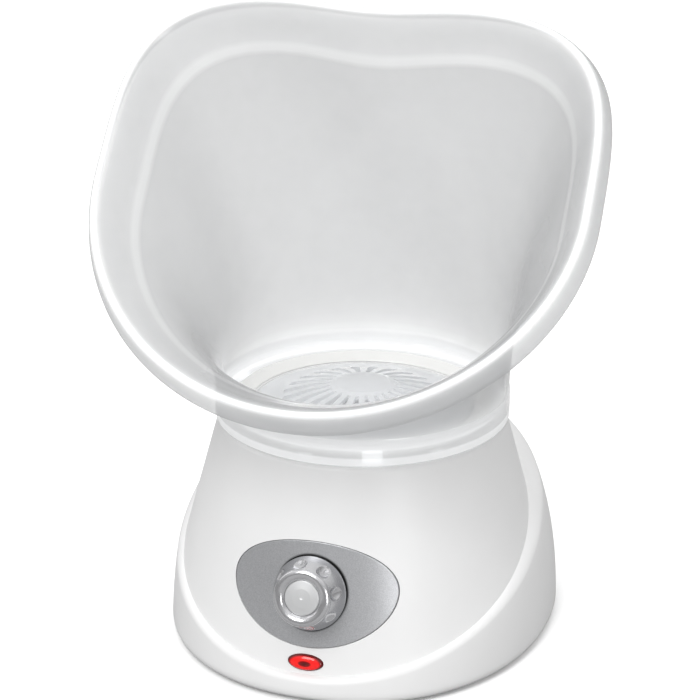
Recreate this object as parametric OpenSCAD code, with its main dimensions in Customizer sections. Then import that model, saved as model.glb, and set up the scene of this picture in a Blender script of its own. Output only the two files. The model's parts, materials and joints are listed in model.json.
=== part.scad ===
// Facial steamer: heated base with a rotary control, ribbed steam vent and lift-off face mask.
// Frame: origin on the table below the middle of the water dish, +Z up, -Y toward the user.

/* [Base housing] */
// height of the flat seat that carries the mask
seat_z = 99; // [97:0.5:101]
// radius of the housing at its top edge
top_r = 64; // [63:0.5:66]
// widening of the upper body per millimetre of height
cone_slope = 0.275; // [0.25:0.005:0.3]
// half width of the skirt at the table
skirt_half_w = 86.5; // [85:0.5:90]
// reach of the skirt toward the user
skirt_front = 93; // [92:0.5:96]
// reach of the skirt toward the back
skirt_back = 98; // [96:0.5:104]
// distance from the dish axis back to the widest point of the skirt
skirt_mid_y = 8; // [4:0.5:10]
// height of the skirt shoulder at the front
shoulder_low_z = 12; // [11:0.5:16]
// rise of the skirt shoulder from front to back
shoulder_rise = 82; // [70:1:83]
// thickness of the moulded walls
wall = 2.6; // [2:0.1:3]

/* [Control] */
// height of the knob axis where it meets the housing
knob_z = 46; // [44:0.5:48]
// radius of the knob at the panel
knob_base_r = 16; // [14:0.5:17]
// radius of the knob's face
knob_face_r = 11.6; // [10:0.2:12]
// length of the knob along its axis
knob_len = 14.5; // [12:0.5:16]
// number of finger dimples round the knob
dimple_count = 8; // [6:1:8]
// half width of the silver panel
panel_half_w = 36.4; // [32:0.2:38]
// height of the panel above its widest line
panel_up = 20.7; // [18:0.1:21]
// height of the panel below its widest line
panel_down = 23.3; // [20:0.1:23.5]
// height of the pilot lens
lens_z = 16.9; // [16.5:0.1:17.5]
// width of the pilot lens
lens_w = 15.4; // [14:0.2:17]
// height of the pilot lens opening
lens_h = 6.8; // [6:0.2:7]

/* [Mask] */
// half width of the mask opening at the outer lip
mask_half_w = 110; // [104:1:114]
// height of the widest line of the opening
mask_mid_z = 205; // [198:1:210]
// drop of the opening from the widest line to the chin
mask_chin = 75; // [70:0.5:77]
// rise of the opening from the widest line to the forehead
mask_forehead = 68; // [62:0.5:72]
// thickness of the mask
mask_wall = 2; // [1.6:0.1:2.4]
// radius of the mask's neck
neck_r = 65.4; // [65.2:0.1:66.5]
// turn allowed each way by the stops
turn_limit = 20; // [10:1:22]

/* [Vent and dish] */
// outer radius of the steam vent
vent_r = 49.2; // [48.8:0.1:49.3]
// height of the flat disc in the middle of the vent
vent_top_z = 112.2; // [109:0.1:114]
// number of steam slots
slot_count = 24; // [16:1:26]
// depth of the water dish
dish_depth = 25; // [20:0.5:26]

/* [Cord] */
// diameter of the power cord
cord_d = 6.4; // [5.5:0.1:6.6]
// number of straight runs in the folded cord
cord_runs = 8; // [4:2:8]
// length of one straight run
cord_run_len = 86; // [60:1:110]

/* [Hidden] */

white = [0.93, 0.93, 0.92];
clear = [0.86, 0.89, 0.9, 0.45];
silver = [0.7, 0.71, 0.73];
steel = [0.72, 0.73, 0.74];
dark = [0.13, 0.13, 0.14];
cream = [0.9, 0.89, 0.85];

// columns round the lofted shells
cols = 72;
eps = 0.05;

// heights and radii shared by several pieces
rim_z = 1.5;
cover_z = 2.6;
cover_t = 2.4;
seat_plate_r = 60;
seat_top = seat_z + 0.15;
collar_out_r = 51.4;
collar_in_r = 49.6;
collar_top = seat_z + 3.6;
shelf_in_r = 44.6;
shelf_top = seat_z - 2.8;
shelf_t = 2.4;
cone_tilt = atan(cone_slope);
shoulder_h = 3;

// mask tabs and the ribs that stop them
tab_angles = [20, 140, 260];
tab_in_r = 59.3;
tab_out_r = 61.2;
tab_half = 4;
stop_half = 3;

// dish stack, from the shelf up and from the dish down
seal_t = 0.9;
flange_z = shelf_top + seal_t + eps;
flange_t = 1.2;
dish_r = 43.4;
dish_wall = 1.2;
dish_floor_z = flange_z + flange_t - dish_depth;
disc_t = 3.1;
disc_top = dish_floor_z - eps;
clamp_t = 1.5;
clamp_z = dish_floor_z - 11.2;
clamp_screw_r = 56;
shield_z = 44;
shield_r = 47;
shield_t = 0.8;
shield_post_r = 40;

// cover screws and feet
screw_r = 1.5;
pilot_r = 1.55;
front_boss = [52, -52, 47];
back_boss = [52, 60, 72];
foot_r = 6.5;
foot_front = [36, -60];
foot_back = [40, 68];

// cord route
cord_r = cord_d / 2;
cord_exit_z = 17;
bushing_y = skirt_back - 4;
cord_clamp_y = bushing_y - 17;
cord_clamp_half = 11;
bend_r = 16;
cord_floor_z = cord_r + eps;
sag_angle = acos(1 - (cord_exit_z - cord_floor_z) / (2 * bend_r));
sag_start_y = skirt_back + 15;
// angle left out of each bend, where a ball joins the two
sag_gap = 1;
sag_end_y = sag_start_y + 2 * bend_r * sin(sag_angle);
fold_r = 7;

// ---------- shared shapes ----------

// radius of the cone-like upper body at height z
function cone_at(z) = top_r + (seat_z - z) * cone_slope;

// height of the skirt shoulder at angle t from the front
function shoulder_z(t) = shoulder_low_z + shoulder_rise * (1 - cos(t)) / 2;

// how much of the skirt's flare is left at height z
function flare(z, p) = 1 - pow(max(0, min(1, z / seat_z)), p);
function skirt_w(z) = top_r + (skirt_half_w - top_r) * flare(z, 2.2);
function skirt_f(z) = top_r + (skirt_front - top_r) * flare(z, 1.25);
function skirt_k(z) = top_r + (skirt_back - top_r) * flare(z, 2.6);
function skirt_c(z) = skirt_mid_y * flare(z, 3);

// squareness of the skirt's plan
function squared(t) = pow(pow(abs(sin(t)), 2.15) + pow(abs(cos(t)), 2.15), -1 / 2.15);

function reach(t, z) = cos(t) > 0 ? skirt_f(z) + skirt_c(z) : skirt_k(z) - skirt_c(z);
function egg(t, z) = [skirt_w(z) * sin(t) * squared(t),
  skirt_c(z) - reach(t, z) * cos(t) * squared(t)];

// skirt outline, held a little outside the upper body at the shoulder, moved inward by inset
function skirt_at(t, z, inset) =
  let (p = egg(t, z), r = norm(p), keep = max(r, cone_at(max(z, shoulder_z(t))) + 1.8) - inset)
  [p[0] * keep / r, p[1] * keep / r];
function upper_at(t, z, inset) = [(cone_at(z) - inset) * sin(t), -(cone_at(z) - inset) * cos(t)];
function mix(a, b, k) = a + (b - a) * k;
function up(p, z) = [p[0], p[1], z];
function ease(k) = let (c = max(0, min(1, k))) c * c * (3 - 2 * c);

// one closed section of the housing wall, outside going up, inside coming down
function housing_section(t) =
  let (ze = shoulder_z(t), zl = ze - shoulder_h)
  concat(
    [up(skirt_at(t, rim_z, 3.6), rim_z), up(skirt_at(t, 2.2, 2.1), 2.2),
     up(skirt_at(t, 3.6, 0.9), 3.6), up(skirt_at(t, 6.5, 0.1), 6.5)],
    [for (k = [0.25, 0.5, 0.75, 1]) let (z = mix(6.5, zl, k)) up(skirt_at(t, z, 0), z)],
    [for (a = [65, 40, 20, 0])
      let (z = ze - shoulder_h * (1 - cos(a))) up(mix(upper_at(t, z, 0), skirt_at(t, z, 0), sin(a)), z)],
    [for (k = [0.2, 0.4, 0.6, 0.8, 1])
      let (z = mix(ze, seat_z - 2.6, k)) up(upper_at(t, z, 0), z)],
    [up(upper_at(t, seat_z - 1.2, 0.35), seat_z - 1.2), up(upper_at(t, seat_z - 0.35, 1.2), seat_z - 0.35),
     up(upper_at(t, seat_z, 2.6), seat_z), up(upper_at(t, seat_z, top_r - 56), seat_z),
     up(upper_at(t, seat_z, top_r - 56), seat_z - wall)],
    [for (z = [seat_z - wall, 90, 82, 72, 62, 52, 42, 32, 22, 13, 8, rim_z])
      let (w = ease((ze - 4 - z) / 8), foot = z < 10 ? 3 : 0)
      up(mix(upper_at(t, z, wall), skirt_at(t, z, wall + foot), w), z)]
  );

// closed ring of sections, each a closed loop of points
module lofted_ring(sections) {
  n = len(sections);
  m = len(sections[0]);
  polyhedron(
    points = [for (s = sections) for (p = s) p],
    faces = [for (i = [0:n - 1]) for (j = [0:m - 1])
      [i * m + j, i * m + (j + 1) % m, ((i + 1) % n) * m + (j + 1) % m, ((i + 1) % n) * m + j]],
    convexity = 10
  );
}

module tube(r_out, r_in, z0, z1) {
  translate([0, 0, z0])
    difference() {
      cylinder(r = r_out, h = z1 - z0, $fn = 96);
      translate([0, 0, -1]) cylinder(r = r_in, h = z1 - z0 + 2, $fn = 96);
    }
}

// wedge of a ring, centred on angle a from the front
module arc_block(r_in, r_out, z0, z1, a, half) {
  rotate([0, 0, a - 90 - half])
    translate([0, 0, z0])
      rotate_extrude(angle = 2 * half, $fn = 96)
        translate([r_in, 0]) square([r_out - r_in, z1 - z0]);
}

// frame of the knob: +Z points out along the tilted axis, origin on the housing
module at_front(z) {
  translate([0, -cone_at(z), z]) rotate([90 - cone_tilt, 0, 0]) children();
}

module at_bosses() {
  for (s = [-1, 1]) {
    for (b = [front_boss, back_boss]) {
      translate([s * b[0], b[1], 0]) children();
    }
  }
}

module at_clamp_screws() {
  for (a = [30:120:270]) {
    rotate([0, 0, a]) translate([0, clamp_screw_r, 0]) children();
  }
}

module at_shield_posts() {
  for (a = [-30:120:210]) {
    rotate([0, 0, a]) translate([0, shield_post_r, 0]) children();
  }
}

module at_cord_clamp_screws() {
  for (s = [-1, 1]) {
    translate([s * cord_clamp_half, cord_clamp_y, 0]) children();
  }
}

// outline of the panel in front view, enlarged by grow
function panel_edge(a, grow) = [(panel_half_w + grow) * cos(a),
  ((sin(a) > 0 ? panel_up : panel_down) + grow) * sin(a)];

module panel_prism(grow) {
  translate([0, -40, knob_z + 0.5])
    rotate([90, 0, 0])
      linear_extrude(height = 80)
        polygon([for (i = [0:71]) panel_edge(i * 5, grow)]);
}

// slice of the upper body between two depths below its surface
module cone_layer(deep, shallow) {
  rotate_extrude($fn = 144)
    polygon([[cone_at(5) - deep, 5], [cone_at(5) - shallow, 5],
      [cone_at(90) - shallow, 90], [cone_at(90) - deep, 90]]);
}

module lens_prism(grow, h) {
  linear_extrude(height = h)
    scale([(lens_w + 2 * grow) / (lens_h + 2 * grow), 1]) circle(d = lens_h + 2 * grow, $fn = 64);
}

// ---------- base ----------

module base_housing() {
  color(white)
    difference() {
      union() {
        lofted_ring([for (i = [0:cols - 1]) housing_section(i * 360 / cols)]);
        seat_and_collar();
        for (s = [-1, 1]) {
          for (b = [front_boss, back_boss]) {
            translate([s * b[0], b[1], cover_z + cover_t + eps])
              cylinder(r = 4, h = b[2] - cover_z - cover_t - eps, $fn = 48);
          }
        }
        at_clamp_screws() translate([0, 0, clamp_z + clamp_t + eps])
          cylinder(r = 3.7, h = seat_z - 1 - clamp_z - clamp_t - eps, $fn = 48);
        for (a = tab_angles) {
          for (s = [-1, 1]) {
            arc_block(tab_in_r, tab_out_r, seat_z - 0.5, seat_z + 2.6,
              a + s * (turn_limit + stop_half + tab_half + 0.5), stop_half);
          }
        }
      }
      intersection() {
        cone_layer(1.5, -6);
        panel_prism(0.25);
      }
      at_front(knob_z) translate([0, 0, -12]) cylinder(r = 4.6, h = 24, $fn = 48);
      at_front(lens_z) translate([0, 0, -12]) lens_prism(0.15, 20);
      translate([0, bushing_y - 20, cord_exit_z]) rotate([-90, 0, 0])
        cylinder(r = 6.1, h = 40, $fn = 48);
      at_bosses() cylinder(r = pilot_r, h = 24, $fn = 32);
      at_clamp_screws() translate([0, 0, clamp_z]) cylinder(r = pilot_r, h = 14, $fn = 32);
    }
}

// exact rings under the mask: seat plate, collar round the vent and shelf for the dish
module seat_and_collar() {
  rotate_extrude($fn = 144)
    polygon([[shelf_in_r, shelf_top - shelf_t], [collar_out_r, shelf_top - shelf_t],
      [collar_out_r, seat_z - wall - 0.2], [seat_plate_r, seat_z - wall - 0.2],
      [seat_plate_r, seat_top], [collar_out_r, seat_top], [collar_out_r, collar_top - 0.5],
      [collar_out_r - 0.5, collar_top], [collar_in_r + 0.4, collar_top],
      [collar_in_r, collar_top - 0.4], [collar_in_r, shelf_top], [shelf_in_r, shelf_top]]);
}

module bottom_cover() {
  color(white)
    difference() {
      union() {
        translate([0, 0, cover_z])
          linear_extrude(height = cover_t)
            polygon([for (i = [0:cols - 1]) skirt_at(i * 360 / cols, cover_z + cover_t, wall + 3.5)]);
        at_shield_posts() translate([0, 0, cover_z + 1]) {
          cylinder(r = 4, h = shield_z - cover_z - 1 - eps, $fn = 48);
          cylinder(r = 1.9, h = shield_z - cover_z + 2, $fn = 32);
        }
        at_cord_clamp_screws() translate([0, 0, cover_z + 1]) cylinder(r = 3.6, h = 9.5, $fn = 48);
      }
      at_bosses() {
        translate([0, 0, cover_z - 1]) cylinder(r = 1.7, h = cover_t + 2, $fn = 32);
        translate([0, 0, cover_z - 1]) cylinder(r = 3.3, h = 2.2, $fn = 32);
      }
      at_feet() translate([0, 0, cover_z - 1]) cylinder(r = 2.6, h = cover_t + 2, $fn = 32);
      at_cord_clamp_screws() translate([0, 0, cover_z + 2.5]) cylinder(r = 1.3, h = 10, $fn = 32);
      for (i = [-3, -2, -1, 1, 2, 3]) {
        translate([i * 9 - 1.5, -22, cover_z - 1]) cube([3, 40, cover_t + 2]);
      }
    }
}

// four feet near the edge and one in the middle
module at_feet() {
  children();
  for (s = [-1, 1]) {
    for (p = [foot_front, foot_back]) {
      translate([s * p[0], p[1], 0]) children();
    }
  }
}

module rubber_feet() {
  color(dark)
    at_feet()
      rotate_extrude($fn = 64)
        polygon([[0, 0], [foot_r - 1, 0], [foot_r - 0.3, 0.4], [foot_r, 1.1], [foot_r, cover_z - eps],
          [2.5, cover_z - eps], [2.5, cover_z + cover_t + 0.1], [3, cover_z + cover_t + 0.1],
          [2.2, cover_z + cover_t + 1.6], [0, cover_z + cover_t + 1.6]]);
}

// pan-head screw standing on its head, head bottom at z = 0
module pan_screw(shank_r, head_r, head_h, len) {
  difference() {
    union() {
      rotate_extrude($fn = 48)
        polygon([[0, 0], [head_r - 0.6, 0], [head_r, 0.5], [head_r, head_h], [0, head_h]]);
      cylinder(r = shank_r, h = len, $fn = 32);
    }
    for (a = [0, 90]) {
      rotate([0, 0, a]) translate([-0.35, -head_r * 0.6, -1]) cube([0.7, head_r * 1.2, 1.8]);
    }
  }
}

module cover_screws() {
  color(steel)
    at_bosses() translate([0, 0, cover_z - 0.5]) pan_screw(screw_r, 3, 1.6, 15);
}

// ---------- control ----------

module control_panel() {
  color(silver)
    difference() {
      intersection() {
        cone_layer(1.45, -0.05);
        panel_prism(0);
      }
      at_front(knob_z) translate([0, 0, -8]) cylinder(r = 6, h = 16, $fn = 64);
    }
}

module control_knob() {
  color(silver)
    at_front(knob_z)
      difference() {
        rotate_extrude($fn = 96)
          polygon([[3.05, 1.2], [13.4, 1.2], [13.4, 0.6], [knob_base_r - 0.4, 0.6],
            [knob_base_r, 1.1], [knob_base_r - 0.2, 2.6], [knob_face_r + 1.1, knob_len - 2.2],
            [knob_face_r + 0.7, knob_len - 0.9], [knob_face_r - 0.3, knob_len - 0.15],
            [knob_face_r - 1.4, knob_len], [knob_face_r - 2.8, knob_len - 0.4],
            [7.6, knob_len - 1.3], [7.6, knob_len - 3.3], [3.05, knob_len - 3.3]]);
        for (i = [0:dimple_count - 1]) {
          rotate([0, 0, i * 360 / dimple_count + 12])
            translate([knob_base_r + 2.4, 0, knob_len * 0.62])
              sphere(r = 4.9, $fn = 48);
        }
      }
}

module knob_cap() {
  color(silver)
    at_front(knob_z)
      rotate_extrude($fn = 96)
        polygon([[0, knob_len - 3.2], [7.5, knob_len - 3.2], [7.5, knob_len - 1.5],
          [7.1, knob_len - 1.2], [4, knob_len - 0.75], [0, knob_len - 0.6]]);
}

module regulator_spindle() {
  color(steel)
    at_front(knob_z) {
      translate([0, 0, -9]) cylinder(r = 3, h = knob_len - 3.3 + 8.9, $fn = 48);
      translate([0, 0, -9.5]) cylinder(r = 5.4, h = 1.2, $fn = 48);
    }
}

module regulator_body() {
  color(dark)
    at_front(knob_z)
      difference() {
        union() {
          translate([0, 0, -22]) cylinder(r = 14, h = 17.9, $fn = 96);
          translate([0, 0, -4.2]) cylinder(r = 4.4, h = 5.1, $fn = 48);
          for (s = [-1, 1]) {
            translate([s * 7 - 2.5, 13, -18]) cube([5, 7, 0.8]);
          }
        }
        translate([0, 0, -10]) cylinder(r = 3.05, h = 12, $fn = 48);
        translate([0, 0, -10]) cylinder(r = 5.6, h = 2, $fn = 48);
      }
}

module spindle_nut() {
  color(steel)
    at_front(knob_z)
      translate([0, 0, -1.35])
        difference() {
          cylinder(r = 5.7, h = 1.8, $fn = 6);
          translate([0, 0, -1]) cylinder(r = 4.45, h = 4, $fn = 48);
        }
}

module pilot_lens() {
  color([0.75, 0.02, 0.02, 0.7])
    at_front(lens_z)
      difference() {
        union() {
          translate([0, 0, -wall - 0.3]) lens_prism(0, wall + 0.5);
          intersection() {
            translate([0, 0, 0.1]) scale([lens_w / lens_h, 1, 0.5]) sphere(d = lens_h - 0.1, $fn = 64);
            lens_prism(0, 4);
          }
          translate([0, 0, -wall - 2.5]) lens_prism(1.2, 1.4);
          translate([0, 0, -wall - 2.5]) lens_prism(0, 3);
        }
        translate([0, 0, -8]) cylinder(r = 2.65, h = 6.6, $fn = 48);
      }
}

module pilot_lamp() {
  color([0.95, 0.55, 0.25, 0.8])
    at_front(lens_z) {
      translate([0, 0, -13]) cylinder(r = 2.4, h = 9, $fn = 48);
      translate([0, 0, -4]) sphere(r = 2.4, $fn = 48);
      for (s = [-1, 1]) {
        translate([s * 1.1, 0, -19]) cylinder(r = 0.35, h = 7, $fn = 16);
      }
    }
}

module lamp_sleeve() {
  color(dark)
    at_front(lens_z)
      translate([0, 0, -16])
        difference() {
          cylinder(r = 4.2, h = 16 - wall - 2.6, $fn = 64);
          translate([0, 0, -1]) cylinder(r = 2.5, h = 20, $fn = 48);
        }
}

// ---------- mask ----------

// depth of the opening at height z
function lean(z) = let (u = (z - 200) / 100) -38.2 + 91.8 * u - 7.9 * u * u;

// distance from the middle of the opening to its edge, by angle from the chin
function opening_r(a) =
  let (n = cos(a) > 0 ? 2 : 3.7, h = cos(a) > 0 ? mask_chin : mask_forehead)
  pow(pow(abs(sin(a)) / mask_half_w, n) + pow(abs(cos(a)) / h, n), -1 / n);
function ear(a) = cos(a) > 0 ? 0 : 2.4 * pow(sin(2 * a), 2);
function lip_edge(a) =
  let (r = opening_r(a), z = mask_mid_z - r * cos(a) + ear(a)) [r * sin(a), lean(z), z];

opening_mid = [0, lean(mask_mid_z), mask_mid_z];
opening_normal = [0, -0.72, 0.694];

// point near the lip: o outward in the opening's plane, h along its normal
function rim(a, o, h) =
  let (e = lip_edge(a), d = e - opening_mid) e + d * o / norm(d) + opening_normal * h;

// start of the wall at the neck
function neck_pt(a) = let (r = neck_r - 0.4 - mask_wall) [r * sin(a), -r * cos(a), seat_z + 10];

// inner wall of the bowl from the neck (v = 0) to the flare (v = 1)
function bowl(a, v) =
  let (p0 = neck_pt(a), p3 = rim(a, -19.2, -13.8), t = rim(a, -4.8, 10.7) - p3,
    span = norm(p3 - p0), p1 = p0 + [0, 0, 0.36 * span],
    p2 = p3 - t / norm(t) * 0.3 * span, w = 1 - v)
  p0 * w * w * w + p1 * 3 * v * w * w + p2 * 3 * v * v * w + p3 * v * v * v;
function bowl_normal(a, v) =
  let (n = cross(bowl(a + 1, v) - bowl(a - 1, v), bowl(a, v + 0.01) - bowl(a, v - 0.01)))
  n / norm(n);

bowl_steps = [0, 0.06, 0.13, 0.2, 0.28, 0.36, 0.45, 0.54, 0.63, 0.72, 0.81, 0.9, 1];
back_steps = [1, 0.9, 0.81, 0.72, 0.63, 0.54, 0.45, 0.36, 0.28, 0.2, 0.13, 0.06, 0];

// one closed section of the mask: outer wall up, round the lip, inner wall down
function mask_section(a) = concat(
  [for (v = bowl_steps) bowl(a, v) + bowl_normal(a, v) * mask_wall],
  [for (q = [[-12.7, -4.9], [-8.8, 3.1], [-6.6, 7.3], [-4.8, 7.4], [-3.1, 4], [-1.9, -0.3],
    [0, 0], [-1.2, 4.5], [-3.1, 9.4], [-4.8, 10.7], [-7.2, 9.3], [-10.6, 4], [-14.5, -4]])
    rim(a, q[0], q[1])],
  [for (v = back_steps) bowl(a, v)]
);

module face_mask() {
  color(clear) {
    lofted_ring([for (i = [0:cols - 1]) mask_section(i * 360 / cols)]);
    rotate_extrude($fn = 144)
      polygon([[neck_r - 2, seat_z + 0.7], [neck_r - 0.6, seat_z + 0.25], [neck_r - 0.1, seat_z + 0.8],
        [neck_r, seat_z + 1.6], [neck_r, seat_z + 12.5], [neck_r - 0.5, seat_z + 13],
        [neck_r - 1.4, seat_z + 13], [neck_r - 2.1, seat_z + 12], [neck_r - 2.6, seat_z + 6.6],
        [57.7, seat_z + 6.4], [57.7, seat_z + 5], [neck_r - 2, seat_z + 5]]);
    for (a = tab_angles) {
      arc_block(tab_in_r, tab_out_r, seat_z + 0.6, seat_z + 5.4, a, tab_half);
    }
  }
}

module splash_ring() {
  color(cream)
    rotate_extrude($fn = 144)
      polygon([[52.2, seat_top + eps], [53.8, seat_top + eps], [53.8, seat_z + 2.2],
        [57.3, seat_z + 3.4], [59, seat_z + 3.4], [59, seat_z + 4.9], [57.5, seat_z + 4.9],
        [57.5, seat_z + 6.2], [57.1, seat_z + 6.5], [50.7, seat_z + 4.2], [50.4, seat_z + 3.8],
        [50.7, collar_top + 0.2], [52.2, collar_top + 0.2]]);
}

// ---------- vent and dish ----------

vent_foot_z = flange_z + flange_t + eps;
vent_rim_z = seat_z + 4;

module steam_vent() {
  color(clear)
    difference() {
      rotate_extrude($fn = 144)
        polygon([[vent_r - 1.6, vent_foot_z], [vent_r, vent_foot_z], [vent_r, vent_rim_z - 0.6],
          [vent_r - 0.6, vent_rim_z], [44, vent_rim_z + 1.2], [36, vent_rim_z + 2.6],
          [24, vent_top_z - 3], [16, vent_top_z - 1.2], [12.8, vent_top_z - 0.3],
          [12.4, vent_top_z], [0, vent_top_z], [0, vent_top_z - 2], [13, vent_top_z - 2.4],
          [24, vent_top_z - 5.2], [36, vent_rim_z + 0.4], [vent_r - 1.6, vent_rim_z - 1.2]]);
      for (i = [0:slot_count - 1]) {
        rotate([0, 0, (i + 0.5) * 360 / slot_count])
          translate([0, 0, vent_rim_z - 3])
            linear_extrude(height = vent_top_z - vent_rim_z + 6)
              union() {
                polygon([[14.6, -0.75], [33.4, -2.4], [33.4, 2.4], [14.6, 0.75]]);
                translate([33.4, 0]) circle(r = 2.4, $fn = 32);
              }
      }
    }
}

module water_dish() {
  color([0.8, 0.81, 0.82])
    rotate_extrude($fn = 144)
      polygon([[0, dish_floor_z], [dish_r - 5, dish_floor_z], [dish_r - 1.5, dish_floor_z + 1.5],
        [dish_r, dish_floor_z + 5], [dish_r, flange_z], [vent_r, flange_z],
        [vent_r, flange_z + flange_t], [dish_r - dish_wall, flange_z + flange_t],
        [dish_r - dish_wall, dish_floor_z + 5.3], [dish_r - 2.4, dish_floor_z + 2.5],
        [dish_r - 5.4, dish_floor_z + dish_wall], [0, dish_floor_z + dish_wall]]);
}

module dish_seal() {
  color([0.75, 0.3, 0.2])
    tube(vent_r - 0.4, shelf_in_r + 0.4, shelf_top, shelf_top + seal_t);
}

module heater_disc() {
  color([0.62, 0.62, 0.63]) {
    difference() {
      union() {
        translate([0, 0, disc_top - disc_t]) cylinder(r = 36, h = disc_t, $fn = 96);
        rotate([0, 0, -60]) rotate_extrude(angle = 300, $fn = 96)
          translate([27, disc_top - disc_t - 1.5]) circle(r = 3.2, $fn = 32);
      }
      translate([0, 0, disc_top - disc_t - 1]) cylinder(r = 2, h = 2, $fn = 32);
    }
    for (a = [-60, 240]) {
      rotate([0, 0, a]) translate([27, 0, disc_top - disc_t - 1.5])
        rotate([a < 0 ? 90 : -90, 0, 0]) cylinder(r = 1.2, h = 9, $fn = 32);
    }
  }
}

module heater_clamp() {
  color(steel)
    difference() {
      union() {
        translate([0, 0, clamp_z]) cylinder(r = 14, h = clamp_t, $fn = 64);
        translate([0, 0, clamp_z]) cylinder(r = 8, h = disc_top - disc_t - clamp_z - eps, $fn = 64);
        at_clamp_screws() {
          translate([-5, -clamp_screw_r, clamp_z]) cube([10, clamp_screw_r, clamp_t]);
          translate([0, 0, clamp_z]) cylinder(r = 5, h = clamp_t, $fn = 48);
        }
      }
      at_clamp_screws() translate([0, 0, clamp_z - 1]) cylinder(r = 1.7, h = 4, $fn = 32);
      translate([0, 0, clamp_z - 1]) cylinder(r = 6, h = disc_top - disc_t - clamp_z - 1, $fn = 64);
    }
}

module clamp_screws() {
  color(steel)
    at_clamp_screws() translate([0, 0, clamp_z - 1.65]) pan_screw(screw_r, 3, 1.6, 13);
}

module heat_shield() {
  color([0.8, 0.81, 0.83])
    difference() {
      rotate_extrude($fn = 144)
        polygon([[0, shield_z], [shield_r - 1, shield_z], [shield_r, shield_z + 1],
          [shield_r, shield_z + 6], [shield_r - shield_t, shield_z + 6],
          [shield_r - shield_t, shield_z + 1.3], [shield_r - 1.3, shield_z + shield_t],
          [0, shield_z + shield_t]]);
      at_shield_posts() translate([0, 0, shield_z - 1]) cylinder(r = 2, h = 3, $fn = 32);
      for (s = [-1, 1]) {
        translate([s * 10, -30, shield_z - 1]) cylinder(r = 3.5, h = 3, $fn = 32);
      }
    }
}

module thermal_cutout() {
  color(dark) {
    translate([0, 0, clamp_z - 7 - eps]) cylinder(r = 8, h = 7, $fn = 64);
    for (s = [-1, 1]) {
      translate([s * 5 - 1.5, -0.4, clamp_z - 12]) cube([3, 0.8, 5.5]);
    }
  }
}

module thermal_fuse() {
  color([0.9, 0.88, 0.8])
    rotate([0, 0, 30]) translate([0, 30, clamp_z - 2.6 - eps]) {
      rotate([90, 0, 0]) translate([0, 0, -8]) cylinder(r = 2.5, h = 16, $fn = 48);
      rotate([90, 0, 0]) translate([0, 0, -13]) cylinder(r = 0.5, h = 26, $fn = 24);
    }
}

// ---------- wiring and cord ----------

block_y = 44;
block_h = 13;

module terminal_block() {
  color(cream)
    translate([0, block_y, cover_z + cover_t + eps])
      difference() {
        translate([-15, -9, 0]) cube([30, 18, block_h]);
        for (i = [-1:1]) {
          translate([i * 9, 10, 5]) rotate([90, 0, 0]) cylinder(r = 1.7, h = 20, $fn = 32);
          translate([i * 9, -4, 6]) cylinder(r = 1.5, h = 8, $fn = 32);
          translate([i * 9, 4, 6]) cylinder(r = 1.5, h = 8, $fn = 32);
        }
      }
}

// lead made of straight rods and ball corners
module lead(pts, r) {
  for (i = [0:len(pts) - 2]) {
    d = pts[i + 1] - pts[i];
    l = norm(d);
    translate(pts[i])
      rotate([0, acos(d[2] / l), atan2(d[1], d[0])])
        cylinder(r = r, h = l, $fn = 24);
    if (i < len(pts) - 2) {
      translate(pts[i + 1]) rotate([37, 23, 0]) sphere(r = r * 1.12, $fn = 24);
    }
  }
}

lead_z = cover_z + cover_t + eps + 5;

module wiring() {
  color([0.25, 0.35, 0.7]) {
    lead([[-9, 37, lead_z], [-9, 30, lead_z], [-34, 6, 12], [-34, -34, 14], [-24, -54, 30],
      [-19, -56, 50], [-8.5, -54, 57]], 1.3);
    lead([[9, 37, lead_z], [9, 30, lead_z], [33, 8, 12], [34, -30, 14], [30, -44, 18],
      [4, -64, 12]], 1.3);
  }
}

module cord_bushing() {
  color(dark)
    translate([0, bushing_y, cord_exit_z])
      rotate([-90, 0, 0])
        rotate_extrude($fn = 64)
          polygon([[cord_r + 0.05, -7], [8, -7], [8, -4.5], [6, -4.5], [6, 6], [8, 6],
            [8, 8], [5.6, 11], [4.8, 18], [cord_r + 0.05, 18]]);
}

module cord_clamp() {
  color(white)
    difference() {
      translate([-15, cord_clamp_y - 4, cover_z + 10.6]) cube([30, 8, 7.6]);
      translate([0, cord_clamp_y - 6, cord_exit_z]) rotate([-90, 0, 0])
        cylinder(r = cord_r + 0.05, h = 12, $fn = 48);
      translate([-cord_r, cord_clamp_y - 6, cover_z]) cube([2 * cord_r, 12, cord_exit_z - cover_z]);
      at_cord_clamp_screws() translate([0, 0, cover_z + 8]) cylinder(r = 1.5, h = 14, $fn = 32);
    }
}

module cord_clamp_screws() {
  color(steel)
    at_cord_clamp_screws() translate([0, 0, cover_z + 19.8 + eps]) mirror([0, 0, 1])
      pan_screw(1.25, 2.6, 1.6, 15);
}

// folded flat bundle on the table: straight runs joined by half turns
module folded_runs() {
  for (i = [0:cord_runs - 1]) {
    translate([-i * 2 * fold_r, sag_end_y, cord_floor_z])
      rotate([-90, 0, 0]) cylinder(r = cord_r, h = cord_run_len, $fn = 48);
  }
  for (i = [0:cord_runs - 2]) {
    translate([-(i + 0.5) * 2 * fold_r, sag_end_y + (i % 2 == 0 ? cord_run_len : 0), cord_floor_z])
      rotate([0, 0, i % 2 == 0 ? 0 : 180])
        rotate_extrude(angle = 180, $fn = 64)
          translate([fold_r, 0]) circle(r = cord_r, $fn = 48);
  }
}

// half of the cord's drop to the table: starts level above the origin and curves down toward +Y
module sag_bend() {
  rotate([0, 90, 0])
    rotate([0, 0, 180 - sag_angle + sag_gap])
      rotate_extrude(angle = sag_angle - sag_gap, $fn = 96)
        translate([bend_r, 0]) circle(r = cord_r, $fn = 48);
}

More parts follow.
